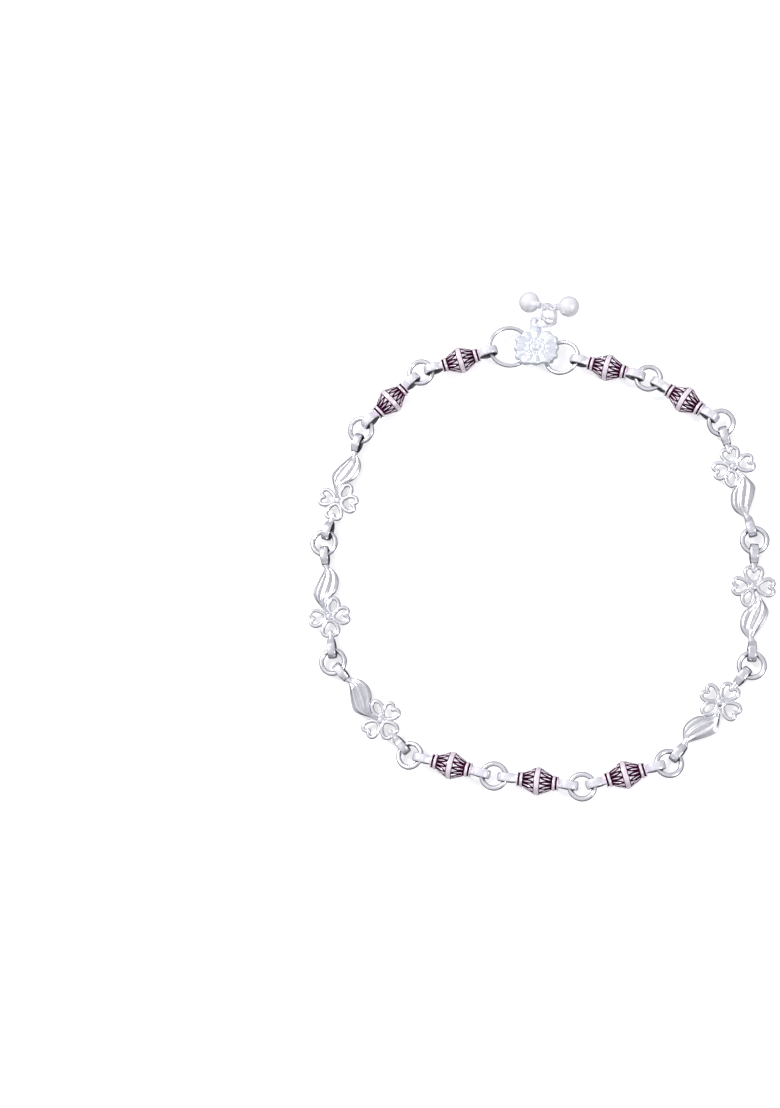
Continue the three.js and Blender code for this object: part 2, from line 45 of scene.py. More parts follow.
chain = {
    "linkRingWire": 0.92,
    "claspRingWire": 0.75,
    "linkRingInner": 1.75,
    "rightRingInner": 2.78,
    "leftRingInner": 3.47,
    "linkSlack": 0.45,  # between a ring's wire and the end wall of a loop
    "wireSpan": 3.35,  # between the two clasp rings' wires, under the plate
    "kinds": "bead bead leaf leaf leaf bead bead bead leaf leaf leaf bead bead".split(),
    "rolls": [0, 0, 5, -3, 2, 0, 0, 0, -3, 3, -2, 0, 0],  # degrees about each unit's length
}


# Numpy helpers. A direction or a place is an array of three numbers.
# A direction's length becomes 1: v / length of v.
def unit(v):
    return v / np.linalg.norm(v)


# Goes from 0 to 1 with level ends: 3 t squared less 2 t cubed.
def smoothStep(t):
    t = np.clip(t, 0.0, 1.0)
    return t * t * (3.0 - 2.0 * t)


# Angles evenly round a circle: k turns / count.
def roundAngles(count):
    return np.arange(count) * 2 * np.pi / count


# Points from their x, y and z, each a number or an array.
def pointsAt(x, y, z):
    return np.stack(np.broadcast_arrays(x, y, z), -1)


# Turns points about z: x cos a - y sin a, x sin a + y cos a. Its rows are the turned axes.
def turnMatrix(angle):
    c, s = np.cos(angle), np.sin(angle)
    return np.array([[c, s, 0], [-s, c, 0], [0, 0, 1]])


# A smooth curve through a table: cubic pieces whose slopes are those of the neighbouring chords.
def throughTable(at, xs, ys):
    xs, ys = np.asarray(xs, float), np.asarray(ys, float)
    slopes = np.gradient(ys, xs, axis=0)
    k = np.clip(np.searchsorted(xs, at, side="right") - 1, 0, len(xs) - 2)
    step = xs[k + 1] - xs[k]
    t = (at - xs[k]) / step
    shape = (-1,) + (1,) * (ys.ndim - 1)
    t, step = t.reshape(shape), step.reshape(shape)
    return (
        (2 * t**3 - 3 * t**2 + 1) * ys[k]
        + (t**3 - 2 * t**2 + t) * step * slopes[k]
        + (3 * t**2 - 2 * t**3) * ys[k + 1]
        + (t**3 - t**2) * step * slopes[k + 1]
    )


# A closed smooth curve through a few corners: from corner b to corner c it is a cubic whose slope is
# half the way from a to c at b, and half the way from b to d at c.
def roundCorners(corners, count):
    corners = np.asarray(corners, float)
    at = np.arange(count) / count * len(corners)
    k = at.astype(int)
    t = (at - k)[:, None]
    a, b, c, d = (corners[(k + shift) % len(corners)] for shift in (-1, 0, 1, 2))
    return 0.5 * (2 * b + (c - a) * t + (2 * a - 5 * b + 4 * c - d) * t**2 + (3 * b - a - 3 * c + d) * t**3)


# Corners of a node's solid, each once.
def cornersOf(node):
    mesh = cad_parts[node].data
    flat = np.empty(len(mesh.vertices) * 3, np.float32)
    mesh.vertices.foreach_get("co", flat)
    return np.unique(np.round(flat.reshape(-1, 3).astype(float) / mm, 3), axis=0)


# A ring's middle is the mean of its corners, and its axis the way in which they spread least.
def ringFrame(node):
    corners = cornersOf(node)
    middle = corners.mean(0)
    axis = np.linalg.eigh(np.cov((corners - middle).T))[1][:, 0]
    return middle, axis * (1 if axis[2] > 0 else -1)


# Meshes. A surface is a grid of points (rows, columns, 3) whose columns run round and close.
# It is closed at both ends by one more row, all at the mean of the end row.
def closedEnds(grid):
    first = np.repeat(grid[:1].mean(1, keepdims=True), grid.shape[1], 1)
    last = np.repeat(grid[-1:].mean(1, keepdims=True), grid.shape[1], 1)
    return np.concatenate([first, grid, last])


# The same for one number per point, such as how raised it is and how much painted shade it takes.
def closedShade(paintedShade):
    return closedEnds(paintedShade[..., None])[..., 0]


# Four-cornered faces between neighbours: corner number = row * columns + column.
def gridFaces(rows, columns, ringRows):
    i, j = np.meshgrid(np.arange(rows if ringRows else rows - 1), np.arange(columns), indexing="ij")
    below, beside = (i + 1) % rows, (j + 1) % columns
    corners = [i * columns + j, i * columns + beside, below * columns + beside, below * columns + j]
    return np.stack(corners, -1).reshape(-1, 4)


# One part of a piece. With ringRows its rows close too, and the last argument gives how high each point
# stands on a bead's enamel, and on silver how little painted shade it takes, 1 for none.
def surface(grid, look=0, ringRows=False, raisedAndShade=None):
    rows, columns = grid.shape[:2]
    return {
        "points": grid.reshape(-1, 3),
        "faces": gridFaces(rows, columns, ringRows),
        "look": look,
        "raisedAndShade": np.ones(rows * columns) if raisedAndShade is None else raisedAndShade.reshape(-1),
    }


# A flat profile (m, 2) carried along a path (n, 3): path + across * side + along * rise, each row scaled.
def carried(path, side, rise, profile, scale=1.0):
    scale = np.broadcast_to(np.asarray(scale, float).reshape(-1, 1, 1), (len(path), 1, 1))
    side, rise = np.broadcast_to(side, path.shape), np.broadcast_to(rise, path.shape)
    across, high = profile[None, :, :1], profile[None, :, 1:]
    return path[:, None] + scale * (across * side[:, None] + high * rise[:, None])


# A rounded rectangle as a superellipse: each of cosine and sine is raised to 2 / power.
def roundedProfile(width, height, power, sides):
    c, s = np.cos(roundAngles(sides)), np.sin(roundAngles(sides))
    x = np.sign(c) * np.abs(c) ** (2 / power) * width / 2
    z = np.sign(s) * np.abs(s) ** (2 / power) * height / 2
    return np.stack([x, z], -1)


# A wire along a closed flat path: the tangent turned a quarter about the plane's axis gives the side.
def closedWire(path, axis, profile):
    tangent = np.roll(path, -1, 0) - np.roll(path, 1, 0)
    side = np.cross(tangent, axis)
    side /= np.linalg.norm(side, axis=1, keepdims=True)
    return carried(path, side, axis, profile)


# Parts moved from their own axes to the frame's: origin + x * first + y * second + z * third axis.
def placed(parts, origin, axes):
    return [dict(part, points=origin + part["points"] @ np.asarray(axes)) for part in parts]


meshing = {"merge": 1e-7, "shortest": 1e-8}  # metres: closest corners and shortest edges


# One piece from its parts, with smooth shading up to the angle sharp, in degrees.
def makePiece(name, parts, looks, node, sharp=40):
    offsets = np.cumsum([0] + [len(part["points"]) for part in parts[:-1]])
    corners = np.concatenate([part["points"] for part in parts]) * mm
    faces = np.concatenate([part["faces"] + start for part, start in zip(parts, offsets)])
    mesh = bpy.data.meshes.new(name)
    mesh.from_pydata(corners, [], faces)
    lookOfFace = np.concatenate([np.full(len(part["faces"]), part["look"]) for part in parts])
    mesh.polygons.foreach_set("material_index", lookOfFace)
    raisedAndShade = mesh.attributes.new("raisedAndShade", "FLOAT", "POINT")
    raisedAndShade.data.foreach_set("value", np.concatenate([part["raisedAndShade"] for part in parts]))
    solid = bmesh.new()
    solid.from_mesh(mesh)
    bmesh.ops.remove_doubles(solid, verts=solid.verts, dist=meshing["merge"])
    bmesh.ops.dissolve_degenerate(solid, edges=solid.edges, dist=meshing["shortest"])
    bmesh.ops.recalc_face_normals(solid, faces=solid.faces)
    solid.to_mesh(mesh)
    solid.free()
    mesh.polygons.foreach_set("use_smooth", np.ones(len(mesh.polygons), bool))
    mesh.set_sharp_from_angle(angle=np.radians(sharp))
    for look in looks:
        mesh.materials.append(look)
    piece = bpy.data.objects.new(name, mesh)
    bpy.context.scene.collection.objects.link(piece)
    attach(piece, "root")
    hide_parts(node)
    return piece


# Materials, made of a few shared steps. Every noise is laid on the piece's own coordinates in metres.
def newLook(name):
    look = bpy.data.materials.new(name)
    look.use_nodes = True
    nodes, links = look.node_tree.nodes, look.node_tree.links
    shader = nodes["Principled BSDF"]
    place = nodes.new("ShaderNodeTexCoord").outputs["Object"]
    return look, nodes, links, shader, place


# Noise from 0 to 1, mostly between 0.3 and 0.7, with scale patches to a metre.
def noiseOn(nodes, links, place, scale, detail=4.0, roughness=0.55):
    noise = nodes.new("ShaderNodeTexNoise")
    noise.inputs["Scale"].default_value = scale
    noise.inputs["Detail"].default_value = detail
    noise.inputs["Roughness"].default_value = roughness
    links.new(place, noise.inputs["Vector"])
    return noise.outputs["Fac"]


# Straight lines between stops, each a position and a colour or a grey.
def rampOn(nodes, links, value, stops):
    ramp = nodes.new("ShaderNodeValToRGB")
    while len(ramp.color_ramp.elements) < len(stops):
        ramp.color_ramp.elements.new(0.5)
    for element, (position, colour) in zip(ramp.color_ramp.elements, stops):
        element.position = position
        element.color = (*colour, 1.0) if isinstance(colour, tuple) else (colour, colour, colour, 1.0)
    links.new(value, ramp.inputs["Fac"])
    return ramp.outputs["Color"]


# How high a point stands, and on silver how little painted shade it takes, from its mesh's attribute.
def raisedOn(nodes):
    raisedAndShade = nodes.new("ShaderNodeAttribute")
    raisedAndShade.attribute_name = "raisedAndShade"
    return raisedAndShade.outputs["Fac"]


# low * (1 - share) + high * share. The low colour may be a constant.
def mixOn(nodes, links, share, low, high):
    mix = nodes.new("ShaderNodeMix")
    mix.data_type = "RGBA"
    links.new(share, mix.inputs["Factor"])
    if isinstance(low, tuple):
        mix.inputs["A"].default_value = (*low, 1)
    else:
        links.new(low, mix.inputs["A"])
    links.new(high, mix.inputs["B"])
    return mix.outputs["Result"]


# Tilts the surface by the slope of height * distance, weakened by strength.
def bumpOn(nodes, links, shader, height, strength, distance):
    bump = nodes.new("ShaderNodeBump")
    bump.inputs["Strength"].default_value = strength
    bump.inputs["Distance"].default_value = distance
    links.new(height, bump.inputs["Height"])
    links.new(bump.outputs["Normal"], shader.inputs["Normal"])


silver = {
    "bright": (0.93, 0.93, 0.97),
    "dull": (0.80, 0.79, 0.84),
    "paintedShadeColour": (0.05, 0.045, 0.055),  # painted shade, the colour put where the point attribute is 0
    "edgeTint": (0.55, 0.55, 0.6),
    "metalness": 1.0,
    "roughest": 0.34,
    "smoothest": 0.24,
    "patchScale": 420.0,  # bright and dull patches, per metre
    "grainScale": 1500.0,  # rough and smooth spots, per metre
    "rippleScale": 900.0,  # polishing ripples, per metre
    "rippleStrength": 0.5,
    "rippleDepth": 0.00003,  # metres
}
# The stamped plate, the balls, and the beads' straps with the jump rings are whiter and softer.
stamped = {
    **silver, "bright": (0.93, 0.96, 1.0), "dull": (0.82, 0.86, 0.92), "metalness": 0.68, "roughest": 0.42,
}
frosted = {
    **silver, "bright": (0.98, 0.98, 1.0), "dull": (0.90, 0.90, 0.94), "metalness": 0.42, "roughest": 0.46,
}
soft = {
    **silver, "bright": (0.96, 0.95, 1.0), "dull": (0.86, 0.84, 0.92), "metalness": 0.65, "roughest": 0.4,
}


# Silver: its patches are dull or bright and its grain rough or smooth, each by a noise, and its colour
# is painted shade * (1 - attribute) + clean * attribute: shade is painted where the attribute is below 1.
def silverLook(name, v):
    look, nodes, links, shader, place = newLook(name)
    shader.inputs["Metallic"].default_value = v["metalness"]
    shader.inputs["Specular Tint"].default_value = (*v["edgeTint"], 1)
    patches = noiseOn(nodes, links, place, v["patchScale"])
    clean = rampOn(nodes, links, patches, [(0.3, v["dull"]), (0.62, v["bright"])])
    colour = mixOn(nodes, links, raisedOn(nodes), v["paintedShadeColour"], clean)
    links.new(colour, shader.inputs["Base Color"])
    grain = noiseOn(nodes, links, place, v["grainScale"], 3.0)
    rough = rampOn(nodes, links, grain, [(0.3, v["smoothest"]), (0.75, v["roughest"])])
    links.new(rough, shader.inputs["Roughness"])
    ripples = noiseOn(nodes, links, place, v["rippleScale"], 3.0)
    bumpOn(nodes, links, shader, ripples, v["rippleStrength"], v["rippleDepth"])
    return look


polished = silverLook("polishedSilver", silver)
plateLook = silverLook("stampedSilver", stamped)
ballLook = silverLook("frostedSilver", frosted)
softLook = silverLook("softSilver", soft)

enamelBead = {
    "enamel": (0.05, 0.0, 0.028),
    "enamelDark": (0.01, 0.0, 0.007),
    "silver": (1.0, 0.91, 0.98),
    "silverDull": (0.93, 0.78, 0.90),
    "silverMetalness": 0.45,  # a frosted finish, part metal and part white
    "enamelRoughness": 0.3,
    "silverRoughness": 0.26,
    "enamelSheen": 0.03,  # specular level of the enamel, which is not very glossy
    "edge": (0.44, 0.56),  # between these heights enamel goes over into silver
    "patchScale": 700.0,  # per metre, as the grain's
    "grainScale": 1800.0,
    "grainStrength": 0.4,
    "grainDepth": 0.00002,  # metres
}


# The bead's own silver stands up out of enamel: the point attribute says how high, from 0 to 1.
# Each property is enamel's * (1 - edge) + silver's * edge.
def enamelLook():
    v = enamelBead
    look, nodes, links, shader, place = newLook("enamelledSilver")
    edge = rampOn(nodes, links, raisedOn(nodes), [(v["edge"][0], 0.0), (v["edge"][1], 1.0)])
    patches = noiseOn(nodes, links, place, v["patchScale"])
    enamel = rampOn(nodes, links, patches, [(0.35, v["enamelDark"]), (0.65, v["enamel"])])
    metal = rampOn(nodes, links, patches, [(0.3, v["silverDull"]), (0.6, v["silver"])])
    links.new(mixOn(nodes, links, edge, enamel, metal), shader.inputs["Base Color"])
    metalness = rampOn(nodes, links, edge, [(0.0, 0.0), (1.0, v["silverMetalness"])])
    links.new(metalness, shader.inputs["Metallic"])
    rough = rampOn(nodes, links, edge, [(0.0, v["enamelRoughness"]), (1.0, v["silverRoughness"])])
    links.new(rough, shader.inputs["Roughness"])
    shader.inputs["Specular IOR Level"].default_value = v["enamelSheen"]
    grain = noiseOn(nodes, links, place, v["grainScale"], 3.0)
    bumpOn(nodes, links, shader, grain, v["grainStrength"], v["grainDepth"])
    return look


enamelled = enamelLook()
print("materials made")

# Layout: the ring middles come from the frame, and each unit lies between two of them.
linkRings = ["link_ring_" + str(i).zfill(2) for i in range(1, len(chain["kinds"]))]
ringNodes = ["clasp_ring_right", *linkRings, "clasp_ring_left"]
ringInners = [chain["rightRingInner"], *[chain["linkRingInner"]] * len(linkRings), chain["leftRingInner"]]
ringFrames = [ringFrame(node) for node in ringNodes]

bandLoop = {
    "width": 1.6,
    "thickness": 0.65,
    "play": 0.34,  # above and below a link ring's wire
    "depth": 1.01,  # behind a link ring's wire
    "rootHeight": 1.5,
    "power": 3.4,  # of the strap's rounded section
    "sides": 20,
    "pinch": 0.12,  # how much narrower the strap gets at its root
    "endRound": 0.35,  # length over which the strap's ends are rounded off
    "endSize": 0.55,  # how large its section still is at the very end
    "plug": (0.9, 0.6),  # the filling between the strap's two ends: share of its width and thickness
    "insideShade": 0.1,  # how bright the painted shade on the hole's inner side is
    "edgeShade": (0.25, 0.08),  # and the painted shade on the strap's edges, above and underneath
}
holeHalf = chain["linkRingWire"] / 2 + bandLoop["play"]
holeLength = chain["linkSlack"] + chain["linkRingWire"] + bandLoop["depth"]
loopHalf = holeHalf + bandLoop["thickness"]


# A strap bent into a loop: out along the top, half a circle round the tip and back underneath.
# Between root and shoulder its height goes over smoothly from the root's to the loop's.
def loopStrap(root, tip, end):
    v = bandLoop
    middle = holeHalf + v["thickness"] / 2
    far = tip - loopHalf
    holeStart = tip - v["thickness"] - holeLength
    low = (v["rootHeight"] - v["thickness"]) / 2
    shoulder = min(holeStart + holeHalf, far)
    x = np.linspace(root, far, 22)
    rise = smoothStep((x - root) / (shoulder - root))
    top = pointsAt(x, 0.0, low + (middle - low) * rise)
    bend = np.radians(np.linspace(90, -90, 25))[1:-1]
    around = pointsAt(far + middle * np.cos(bend), 0.0, middle * np.sin(bend))
    path = np.concatenate([top, around, top[::-1] * [1, 1, -1]])
    outward = np.cross(np.gradient(path, axis=0), sideways)
    outward /= np.linalg.norm(outward, axis=1, keepdims=True)
    profile = roundedProfile(v["width"], v["thickness"], v["power"], v["sides"])
    # The strap's two ends are rounded off: their section shrinks as a quarter circle does.
    short = np.clip((path[:, 0] - root) / v["endRound"], 0, 1)
    size = v["endSize"] + (1 - v["endSize"]) * np.sqrt(1 - (1 - short) ** 2)
    grid = carried(path, sideways, outward, profile, size)
    waist = 1 - v["pinch"] * (1 - smoothStep((path[:, 0] - root) / (shoulder - root)))
    grid[:, :, 1] *= waist[:, None]
    # Painted shade across the strap: dark on the hole's side, bright on the outer side, and between them the
    # edge's own, painted darker underneath than above.
    depth = profile[:, 1] / v["thickness"]
    upper, lower = (np.interp(depth, [-0.35, 0.0, 0.35], [v["insideShade"], edge, 1.0])
                    for edge in v["edgeShade"])
    above = smoothStep(0.5 + path[:, 2:] / (2 * middle))
    strapShade = closedShade(above * upper + (1 - above) * lower)
    # The back wall of the hole, where the strap's two ends meet.
    block = roundedProfile(v["width"] * v["plug"][0], 2 * low + v["thickness"] * v["plug"][1], 5, v["sides"])
    plugPath = pointsAt(np.linspace(root, holeStart, 5), 0.0, 0.0)
    plug = closedEnds(carried(plugPath, sideways, up, block, [0.94, 1, 1, 1, 0.94]))
    # The hole's back wall is painted all in the dark painted shade of the hole's inside.
    plugShade = np.full(plug.shape[:2], v["insideShade"])
    parts = [surface(closedEnds(grid), raisedAndShade=strapShade), surface(plug, raisedAndShade=plugShade)]
    return [dict(part, points=part["points"] * [end, end, 1]) for part in parts]


bead = {
    "length": 7.5,
    "repeats": 14,  # of the triangles and leaves round the bead
    "bandRadius": 2.55,
    "bandWidth": 0.86,
    "bandEdge": 0.07,
    "bandDrops": (0.004, 0.02, 0.04, 0.09),  # how far the band's top falls towards its edge
    "footRadius": 2.36,
    "topRadius": 1.22,
    "collarRadius": 1.42,
    "collarWidth": 0.5,
    "recessRadius": 1.2,
    "recessWidth": 0.36,
    "rimRadius": 1.34,
    "rimWidth": 0.18,
    "hoopRise": 0.55,  # how high the collar and the rim are rounded, share of half their width
    "seam": 0.02,  # left between the cone and its neighbours
    "dome": 0.03,  # how far the bead's end swells
    "loopReach": 3.64,
    "loopRoot": 0.25,  # how far a loop's root goes into the bead
    "relief": 0.13,
    "perRepeat": 20,  # columns of points to one repeat
    "along": 46,  # rows of points along one cone
    "triangleBase": 0.34,  # half width at the band, share of one repeat
    "triangleEnd": 0.5,  # share of the cone's length
    "triangleStart": 0.06,
    "leafStart": 0.24,
    "leafEnd": 0.9,
    "leafHalf": 0.135,
    "leafBlunt": 0.75,  # below 1 the leaf's ends are blunter than a sine's
    "edge": 0.12,  # width of a raised figure's slope, mm
}


# A rounded hoop from x0 to x1: half an oval.
def hoopOutline(x0, x1, radius):
    arc = np.radians(np.linspace(180, 0, 9))
    reach = (x1 - x0) / 2
    swell = reach * bead["hoopRise"]
    return np.stack([(x0 + x1) / 2 + reach * np.cos(arc), radius - swell + swell * np.sin(arc)], -1)


# One half of the bead's outline, from the band's middle to the end: (x, radius). With it come the
# share of the cone's length, or -1 off the cone, and 1 in the recess.
def beadOutline():
    v = bead
    half = v["length"] / 2
    rimIn = half - v["rimWidth"]
    collarOut = rimIn - v["recessWidth"]
    collarIn = collarOut - v["collarWidth"]
    foot, lip, seam = v["bandWidth"] / 2, v["bandEdge"], v["seam"]
    bandPlaces = [foot * 0.5, foot - lip, foot - lip * 0.3, foot]
    band = [[0.0, v["bandRadius"]]]
    band += [[x, v["bandRadius"] - drop] for x, drop in zip(bandPlaces, v["bandDrops"])]
    t = np.linspace(0, 1, v["along"])
    coneRadius = v["footRadius"] + (v["topRadius"] - v["footRadius"]) * t
    cone = np.stack([foot + seam + (collarIn - foot - 2 * seam) * t, coneRadius], -1)
    collar = hoopOutline(collarIn, collarOut, v["collarRadius"])
    recess = [[collarOut + seam / 2, v["recessRadius"]], [rimIn - seam / 2, v["recessRadius"]]]
    rim = hoopOutline(rimIn, half, v["rimRadius"])
    end = [[half + v["dome"] / 3, v["rimRadius"] * 0.8], [half + v["dome"], v["rimRadius"] * 0.5],
           [half + v["dome"], 0.0]]
    outline = np.concatenate([band, cone, collar, recess, rim, end])
    onCone = np.full(len(outline), -1.0)
    onCone[len(band):len(band) + len(t)] = t
    inRecess = np.zeros(len(outline))
    first = len(band) + len(t) + len(collar)
    inRecess[first:first + len(recess)] = 1
    return outline, onCone, inRecess


# How far the figures stand up: triangles on the band, pointing outwards, and slim leaves between their
# points. Each figure's height rises with the distance inside its edge.
def figures(t, angle):
    v = bead
    share = (angle * v["repeats"] / (2 * np.pi)) % 1.0 - 0.5
    radius = v["footRadius"] + (v["topRadius"] - v["footRadius"]) * t
    repeat = 2 * np.pi * radius / v["repeats"]
    triangle = v["triangleBase"] * (1 - t / v["triangleEnd"])
    insideTriangle = (triangle - np.abs(share)) * repeat
    span = (t - v["leafStart"]) / (v["leafEnd"] - v["leafStart"])
    leaf = v["leafHalf"] * np.sin(np.pi * np.clip(span, 0, 1)) ** v["leafBlunt"]
    insideLeaf = (leaf - (0.5 - np.abs(share))) * repeat
    ends = v["collarWidth"] + v["recessWidth"] + v["rimWidth"]
    coneLength = (v["length"] - v["bandWidth"]) / 2 - ends
    insideTriangle = np.minimum(insideTriangle, (t - v["triangleStart"]) * coneLength)
    inside = np.maximum(insideTriangle, np.where((span > 0) & (span < 1), insideLeaf, -1))
    return smoothStep(inside / v["edge"] + 0.5)


# The outline mirrored and turned about x: radius = outline + relief * raised, at every angle.
def beadParts():
    outline, onCone, inRecess = beadOutline()
    outline = np.concatenate([outline[::-1] * [-1, 1], outline[1:]])
    onCone = np.concatenate([onCone[::-1], onCone[1:]])[:, None]
    inRecess = np.concatenate([inRecess[::-1], inRecess[1:]])[:, None]
    angle = roundAngles(bead["repeats"] * bead["perRepeat"])
    raisedAndShade = figures(onCone, angle) * (onCone >= 0)
    radius = outline[:, 1:] + bead["relief"] * raisedAndShade
    grid = pointsAt(outline[:, :1], radius * np.cos(angle), radius * np.sin(angle))
    shown = np.where(onCone >= 0, raisedAndShade, 1.0) * (1 - inRecess)
    half = bead["length"] / 2
    parts = [surface(grid, raisedAndShade=shown)]
    for end in (-1, 1):
        loops = loopStrap(half - bead["loopRoot"], half + bead["loopReach"], end)
        parts += [dict(part, look=1) for part in loops]
    return parts


flowerLeaf = {
    "length": 21.9,
    "petalWire": 0.72,
    "wireHeight": 1.05,  # the petals' wire is this much higher than it is wide
    "wirePower": 2.3,
    "petalLength": 3.95,
    "petalWidth": 3.75,
    "petalStart": 0.75,
    "flowerPlace": -2.9,
    "bossRadius": 0.85,
    "bossHeight": 0.945,
    "bossLobes": (4, 0.08),  # how many swellings round the boss, and how strong they are
    "ovalLength": 3.6,
    "ovalWidth": 2.7,
    "ovalAlong": 0.57,
    "ovalAcross": -0.34,
    "ovalTurn": -12,
    "leafLength": 8.55,
    "leafWidth": 4.75,
    "leafPlace": -1.9,
    "leafThickness": 0.6,
    "crown": 0.12,  # how much higher the leaf's middle is than its edges
    "ridge": 0.24,
    "ridges": 3.0,
    "ridgeShift": 0.6,  # radians that the ridges are shifted across the leaf
    "paintedShade": (0.78, 0.92),  # painted shade: how bright the leaf's metal is painted in its grooves and on its ridges
    "stemHeight": 0.78,
    "stemWide": 1.3,  # at a loop
    "flowerStem": 0.825,
    "leafStem": 0.75,
    "stemRoot": 0.3,  # how far a stem goes into a loop's root
    "leafRoot": 0.7,  # and into the leaf
    # half of a heart petal's outline, point to notch: shares of its length and of half its width
    "heart": [
        (0.0, 0.0), (0.1, 0.46), (0.4, 0.86), (0.72, 1.0), (0.94, 0.8), (1.0, 0.46), (0.9, 0.15), (0.76, 0.0),
    ],
    # leaf sections: share of its length, edges as shares of its width, height of its ridges
    "sections": [
        (0.0, 0.04, 0.16, 0.3), (0.147, 0.09, 0.33, 0.7), (0.276, -0.02, 0.485, 1.0),
        (0.427, -0.33, 0.583, 1.0), (0.578, -0.45, 0.49, 1.0), (0.73, -0.475, 0.33, 1.0),
        (0.88, -0.375, 0.15, 0.8), (1.0, -0.17, 0.02, 0.4),
    ],
}


# A flat closed path as petal wire, turned by some degrees and moved to its place.
def petalWire(path, degrees, shift):
    v = flowerLeaf
    profile = roundedProfile(v["petalWire"], v["petalWire"] * v["wireHeight"], v["wirePower"], 14)
    return surface(closedWire(path, up, profile) @ turnMatrix(np.radians(degrees)) + shift, ringRows=True)


# A petal is a round wire bent into a heart, its point at the flower's middle.
def heartPetal(heading):
    v = flowerLeaf
    length = v["petalLength"] - v["petalStart"] - v["petalWire"] / 2
    half = (v["petalWidth"] - v["petalWire"]) / 2
    edge = np.array(v["heart"]) * [length, half] + [v["petalStart"], 0]
    flat = roundCorners(np.concatenate([edge, edge[-2:0:-1] * [1, -1]]), 72)
    return petalWire(pointsAt(flat[:, 0], flat[:, 1], 0.0), heading, [v["flowerPlace"], 0, 0])


# The fourth petal is an oval: half length * cos, half width * sin.
def ovalPetal():
    v = flowerLeaf
    a = roundAngles(64)
    length, width = v["ovalLength"] - v["petalWire"], v["ovalWidth"] - v["petalWire"]
    path = pointsAt(np.cos(a) * length / 2, np.sin(a) * width / 2, 0.0)
    shift = [v["flowerPlace"] + v["ovalLength"] * v["ovalAlong"], v["ovalWidth"] * v["ovalAcross"], 0]
    return petalWire(path, v["ovalTurn"], shift)


# The boss is a dome whose radius swells a few times round.
def flowerBoss():
    v = flowerLeaf
    a = roundAngles(48)
    h = np.linspace(0, 1, 12)[:, None]
    lobes, swell = v["bossLobes"]
    radius = v["bossRadius"] * np.cos(h * np.pi / 2) ** 0.6 * (1 + swell * np.cos(lobes * a) * (1 - h))
    z = -v["petalWire"] / 2 + v["bossHeight"] * np.sin(h * np.pi / 2)
    return surface(closedEnds(pointsAt(v["flowerPlace"] + radius * np.cos(a), radius * np.sin(a), z)))


# The leaf lies between two edge curves. Across it a closed oval gives thickness, and the top carries
# ridges that run along it: height = ridge * (1 - cos) / 2 over the share of the width.
def leafBlade():
    v = flowerLeaf
    table = np.array(v["sections"])
    t = np.linspace(0, 1, 76)
    inner, outer, lift = throughTable(t, table[:, 0], table[:, 1:]).T
    c, s = np.cos(roundAngles(84)), np.sin(roundAngles(84))
    across = 0.5 + 0.5 * np.sign(c) * np.abs(c) ** 0.8
    high = np.sign(s) * np.abs(s) ** 0.6
    x = v["leafPlace"] + v["leafLength"] * t[:, None]
    y = v["leafWidth"] * (inner[:, None] + (outer - inner)[:, None] * across)
    shape = 0.5 - 0.5 * np.cos(2 * np.pi * v["ridges"] * across + v["ridgeShift"])
    swell = shape * v["ridge"] * lift[:, None] + v["crown"] * np.sin(np.pi * across)
    thin = np.minimum(1, 0.45 + 3 * np.minimum(t, 1 - t))[:, None]  # the leaf thins out at both ends
    z = thin * (high * v["leafThickness"] / 2 + np.maximum(high, 0) * swell)
    # Painted shade: the grooves are painted darker than the ridges, and the whole leaf a little greyer than
    # clean metal.
    groove, crest = v["paintedShade"]
    paintedShade = np.broadcast_to(groove + (crest - groove) * shape, z.shape)
    return surface(closedEnds(pointsAt(x, y, z)), raisedAndShade=closedShade(paintedShade))


# A bar between a loop and the flower or leaf. Its middle and its width go over smoothly from end to end.
def stemBar(x0, x1, y0, y1, width0, width1):
    share = smoothStep(np.linspace(0, 1, 12))
    path = pointsAt(np.linspace(x0, x1, 12), y0 + (y1 - y0) * share, 0.0)
    grid = carried(path, sideways, up, roundedProfile(1.0, flowerLeaf["stemHeight"], 2.4, 20))
    width = width0 + (width1 - width0) * share
    grid[:, :, 1] = path[:, 1:2] + (grid[:, :, 1] - path[:, 1:2]) * width[:, None]
    return surface(closedEnds(grid))


# Loop, stem, flower, leaf, stem and loop, from -x to +x.
def leafLinkParts():
    v = flowerLeaf
    tip = v["length"] / 2
    root = tip - 2 * bandLoop["thickness"] - holeLength
    notch = v["flowerPlace"] - v["petalStart"] - v["heart"][-1][0] * (v["petalLength"] - v["petalStart"])
    leafEnd = v["leafPlace"] + v["leafLength"]
    leafTip = v["leafWidth"] * (v["sections"][-1][1] + v["sections"][-1][2]) / 2
    parts = [heartPetal(heading) for heading in (90, 180, 270)]
    parts += [ovalPetal(), flowerBoss(), leafBlade()]
    parts.append(stemBar(-root - v["stemRoot"], notch, 0, 0, v["stemWide"], v["flowerStem"]))
    start, end = leafEnd - v["leafRoot"], root + v["stemRoot"]
    parts.append(stemBar(start, end, leafTip, 0, v["leafStem"], v["stemWide"]))
    return parts + loopStrap(root, tip, -1) + loopStrap(root, tip, 1)


# Where a unit lies: between the tips that its two rings hold, resting on the ground at its roll.
def unitFrame(i):
    middles = [ringFrames[k][0] * [1, 1, 0] for k in (i, i + 1)]
    reach = [ringInners[k] - chain["linkSlack"] - bandLoop["thickness"] for k in (i, i + 1)]
    way = unit(middles[1] - middles[0])
    origin = (middles[0] + way * reach[0] + middles[1] - way * reach[1]) / 2
    roll = np.radians(chain["rolls"][i])
    if chain["kinds"][i] == "bead":
        height = bead["bandRadius"]
    else:
        lean = abs(roll)
        loop = loopHalf * np.cos(lean) + bandLoop["width"] / 2 * np.sin(lean)
        petal = (flowerLeaf["petalLength"] - flowerLeaf["petalWire"] / 2) * np.sin(lean)
        height = max(loop, petal + flowerLeaf["petalWire"] / 2)
    side = np.cross(up, way)
    axes = [way, np.cos(roll) * side + np.sin(roll) * up, np.cos(roll) * up - np.sin(roll) * side]
    return origin + height * up, axes


